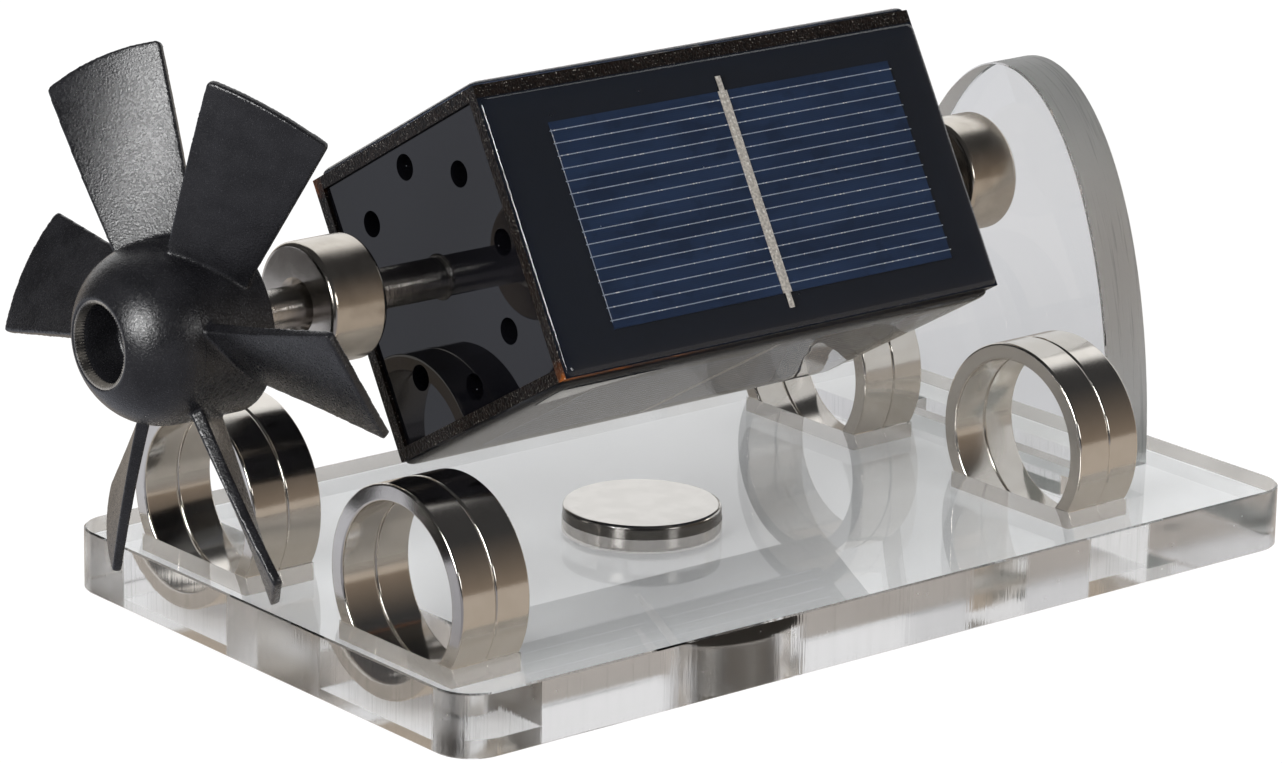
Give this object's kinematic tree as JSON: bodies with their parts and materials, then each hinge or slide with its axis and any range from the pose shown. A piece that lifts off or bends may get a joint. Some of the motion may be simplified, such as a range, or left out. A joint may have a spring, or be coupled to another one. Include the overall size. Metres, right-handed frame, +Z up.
{
  "type": "demonstration electric motor",
  "caption": "Solar-powered demonstration motor: a square panel drum with a fan, carried on magnets over a clear base, turning about a level shaft against an upright.",
  "frame": {"origin": "under the centre of the clear base, on the surface that it stands on", "axes": "+X along the rotor shaft, from the fan to the upright; +Z up; +Y to the left of the rotor as seen from the fan end"},
  "size_m": [0.1574, 0.08, 0.0766],
  "materials": {
    "clear_acrylic": "polished clear sheet with sawn, frosted edges",
    "nickel_plate": "bright nickel plating with a fine grain",
    "shaft_steel": "ground and polished",
    "tip_steel": "polished point",
    "black_acrylic": "mirror-gloss black sheet",
    "set_glue": "clear, set",
    "former_plastic": "moulded, matt",
    "enamelled_copper": "enamelled copper wire",
    "circuit_board": "black solder mask over brown glass-fibre board, sawn edges",
    "silicon_cell": "dark blue silicon with a printed silver grid",
    "tinned_ribbon": "tinned copper ribbon",
    "solder": "solder",
    "clear_resin": "clear doming resin, gloss",
    "fan_plastic": "black moulded plastic with a fine spark-eroded grain"
  },
  "bodies": {
    "stand": {"base_plate": "clear_acrylic", "disc_magnet": "nickel_plate", "end_upright": "clear_acrylic", "ring_magnet_front_left_1": "nickel_plate", "ring_magnet_front_left_2": "nickel_plate", "ring_magnet_front_right_1": "nickel_plate", "ring_magnet_front_right_2": "nickel_plate", "ring_magnet_rear_left_1": "nickel_plate", "ring_magnet_rear_left_2": "nickel_plate", "ring_magnet_rear_right_1": "nickel_plate", "ring_magnet_rear_right_2": "nickel_plate"},
    "rotor": {"coil_former": "former_plastic", "end_plate_front": "black_acrylic", "end_plate_rear": "black_acrylic", "fan": "fan_plastic", "glue_ring_front": "set_glue", "glue_ring_rear": "set_glue", "panel_1_board": "circuit_board", "panel_1_cell": "silicon_cell", "panel_1_leads": "enamelled_copper", "panel_1_resin": "clear_resin", "panel_1_ribbon": "tinned_ribbon", "panel_1_solder": "solder", "panel_2_board": "circuit_board", "panel_2_cell": "silicon_cell", "panel_2_leads": "enamelled_copper", "panel_2_resin": "clear_resin", "panel_2_ribbon": "tinned_ribbon", "panel_2_solder": "solder", "panel_3_board": "circuit_board", "panel_3_cell": "silicon_cell", "panel_3_leads": "enamelled_copper", "panel_3_resin": "clear_resin", "panel_3_ribbon": "tinned_ribbon", "panel_3_solder": "solder", "panel_4_board": "circuit_board", "panel_4_cell": "silicon_cell", "panel_4_leads": "enamelled_copper", "panel_4_resin": "clear_resin", "panel_4_ribbon": "tinned_ribbon", "panel_4_solder": "solder", "pointed_tip": "tip_steel", "rotor_magnet_front": "nickel_plate", "rotor_magnet_rear": "nickel_plate", "shaft": "shaft_steel", "winding_inner": "enamelled_copper", "winding_outer": "enamelled_copper"}
  },
  "joints": [
    {"name": "rotor_spin", "type": "hinge", "parent": "stand", "child": "rotor", "pos_m": [0.0512, 0, 0.0444], "axis": [1, 0, 0], "continuous": true}
  ]
}
